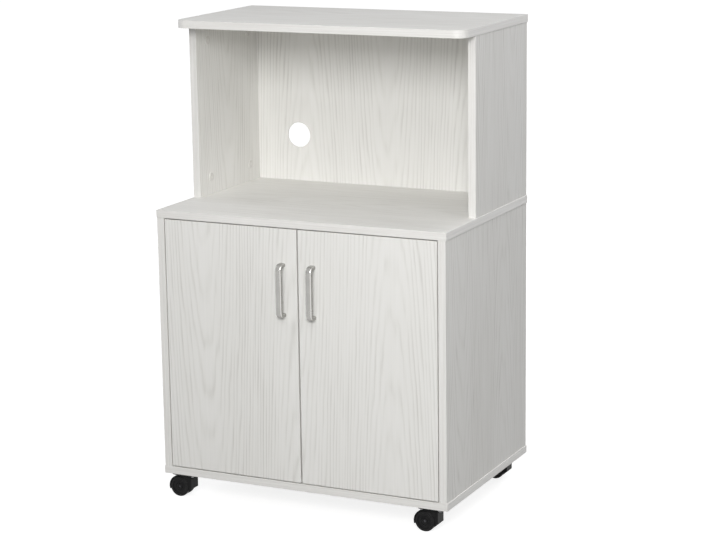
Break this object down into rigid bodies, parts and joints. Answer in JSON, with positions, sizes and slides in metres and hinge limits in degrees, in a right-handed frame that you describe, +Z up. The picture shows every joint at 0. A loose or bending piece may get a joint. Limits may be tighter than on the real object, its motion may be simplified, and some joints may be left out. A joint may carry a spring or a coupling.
{
  "type": "microwave cart",
  "caption": "Rolling kitchen cart with an open microwave bay above a two-door cabinet, on swivel casters.",
  "frame": {"origin": "on the floor, under the middle of the cart's overall box, handles included", "axes": "+X to the right seen from the front, +Y to the back, +Z up"},
  "size_m": [0.604, 0.423, 0.93],
  "materials": {
    "board": "white wood-grain melamine, satin",
    "back_panel": "white-faced thin hardboard",
    "handle": "satin nickel",
    "fittings": "zinc and nickel plate",
    "caster_plastic": "black moulded",
    "caster_plate": "black, satin",
    "wheel": "black moulded"
  },
  "bodies": {
    "carcass": {"top_board": "board", "hutch_side_left": "board", "hutch_side_right": "board", "hutch_back": "back_panel", "cabinet_top": "board", "cabinet_side_left": "board", "cabinet_side_right": "board", "cabinet_bottom": "board", "cabinet_back": "back_panel", "middle_shelf": "board", "shelf_pin_left_front": "fittings", "shelf_pin_right_front": "fittings", "shelf_pin_left_rear": "fittings", "shelf_pin_right_rear": "fittings", "hinge_arm_left_lower": "fittings", "hinge_arm_right_lower": "fittings", "hinge_arm_left_upper": "fittings", "hinge_arm_right_upper": "fittings", "caster_front_left_mount": "caster_plate", "caster_front_right_mount": "caster_plate", "caster_rear_left_mount": "caster_plate", "caster_rear_right_mount": "caster_plate"},
    "door_left": {"door_left": "board", "handle_left": "handle", "handle_screw_left_lower": "fittings", "handle_screw_left_upper": "fittings", "hinge_cup_left_lower": "fittings", "hinge_cup_left_upper": "fittings"},
    "hinge_links_left": {"hinge_link_left_lower": "fittings", "hinge_link_left_upper": "fittings"},
    "door_right": {"door_right": "board", "handle_right": "handle", "handle_screw_right_lower": "fittings", "handle_screw_right_upper": "fittings", "hinge_cup_right_lower": "fittings", "hinge_cup_right_upper": "fittings"},
    "hinge_links_right": {"hinge_link_right_lower": "fittings", "hinge_link_right_upper": "fittings"},
    "caster_front_left": {"caster_front_left_hood": "caster_plastic", "caster_front_left_axle": "fittings"},
    "caster_front_left_wheel_a": {"caster_front_left_wheel_a": "wheel"},
    "caster_front_left_wheel_b": {"caster_front_left_wheel_b": "wheel"},
    "caster_front_right": {"caster_front_right_hood": "caster_plastic", "caster_front_right_axle": "fittings"},
    "caster_front_right_wheel_a": {"caster_front_right_wheel_a": "wheel"},
    "caster_front_right_wheel_b": {"caster_front_right_wheel_b": "wheel"},
    "caster_rear_left": {"caster_rear_left_hood": "caster_plastic", "caster_rear_left_axle": "fittings"},
    "caster_rear_left_wheel_a": {"caster_rear_left_wheel_a": "wheel"},
    "caster_rear_left_wheel_b": {"caster_rear_left_wheel_b": "wheel"},
    "caster_rear_right": {"caster_rear_right_hood": "caster_plastic", "caster_rear_right_axle": "fittings"},
    "caster_rear_right_wheel_a": {"caster_rear_right_wheel_a": "wheel"},
    "caster_rear_right_wheel_b": {"caster_rear_right_wheel_b": "wheel"}
  },
  "joints": [
    {"name": "door_left_hinge", "type": "hinge", "parent": "carcass", "child": "door_left", "pos_m": [-0.2835, -0.1915, 0.313], "axis": [0, 0, -1], "range_deg": [0, 100]},
    {"name": "hinge_links_left_turn", "type": "hinge", "parent": "carcass", "child": "hinge_links_left", "pos_m": [-0.2805, -0.1725, 0.313], "axis": [0, 0, -1], "range_deg": [0, 60]},
    {"name": "door_right_hinge", "type": "hinge", "parent": "carcass", "child": "door_right", "pos_m": [0.2835, -0.1915, 0.313], "axis": [0, 0, 1], "range_deg": [0, 100]},
    {"name": "hinge_links_right_turn", "type": "hinge", "parent": "carcass", "child": "hinge_links_right", "pos_m": [0.2805, -0.1725, 0.313], "axis": [0, 0, 1], "range_deg": [0, 60]},
    {"name": "caster_front_left_swivel", "type": "hinge", "parent": "carcass", "child": "caster_front_left", "pos_m": [-0.264, -0.1635, 0.038], "axis": [0, 0, 1], "continuous": true},
    {"name": "caster_front_left_wheel_a_spin", "type": "hinge", "parent": "caster_front_left", "child": "caster_front_left_wheel_a", "pos_m": [-0.279, -0.17275, 0.02], "axis": [0, 1, 0], "continuous": true},
    {"name": "caster_front_left_wheel_b_spin", "type": "hinge", "parent": "caster_front_left", "child": "caster_front_left_wheel_b", "pos_m": [-0.279, -0.15425, 0.02], "axis": [0, 1, 0], "continuous": true},
    {"name": "caster_front_right_swivel", "type": "hinge", "parent": "carcass", "child": "caster_front_right", "pos_m": [0.264, -0.1635, 0.038], "axis": [0, 0, 1], "continuous": true},
    {"name": "caster_front_right_wheel_a_spin", "type": "hinge", "parent": "caster_front_right", "child": "caster_front_right_wheel_a", "pos_m": [0.249, -0.17275, 0.02], "axis": [0, 1, 0], "continuous": true},
    {"name": "caster_front_right_wheel_b_spin", "type": "hinge", "parent": "caster_front_right", "child": "caster_front_right_wheel_b", "pos_m": [0.249, -0.15425, 0.02], "axis": [0, 1, 0], "continuous": true},
    {"name": "caster_rear_left_swivel", "type": "hinge", "parent": "carcass", "child": "caster_rear_left", "pos_m": [-0.264, 0.1835, 0.038], "axis": [0, 0, 1], "continuous": true},
    {"name": "caster_rear_left_wheel_a_spin", "type": "hinge", "parent": "caster_rear_left", "child": "caster_rear_left_wheel_a", "pos_m": [-0.279, 0.17425, 0.02], "axis": [0, 1, 0], "continuous": true},
    {"name": "caster_rear_left_wheel_b_spin", "type": "hinge", "parent": "caster_rear_left", "child": "caster_rear_left_wheel_b", "pos_m": [-0.279, 0.19275, 0.02], "axis": [0, 1, 0], "continuous": true},
    {"name": "caster_rear_right_swivel", "type": "hinge", "parent": "carcass", "child": "caster_rear_right", "pos_m": [0.264, 0.1835, 0.038], "axis": [0, 0, 1], "continuous": true},
    {"name": "caster_rear_right_wheel_a_spin", "type": "hinge", "parent": "caster_rear_right", "child": "caster_rear_right_wheel_a", "pos_m": [0.249, 0.17425, 0.02], "axis": [0, 1, 0], "continuous": true},
    {"name": "caster_rear_right_wheel_b_spin", "type": "hinge", "parent": "caster_rear_right", "child": "caster_rear_right_wheel_b", "pos_m": [0.249, 0.19275, 0.02], "axis": [0, 1, 0], "continuous": true}
  ],
  "couplings": [
    {"joint": "hinge_links_left_turn", "follows": "door_left_hinge", "ratio": 0.6},
    {"joint": "hinge_links_right_turn", "follows": "door_right_hinge", "ratio": 0.6}
  ]
}
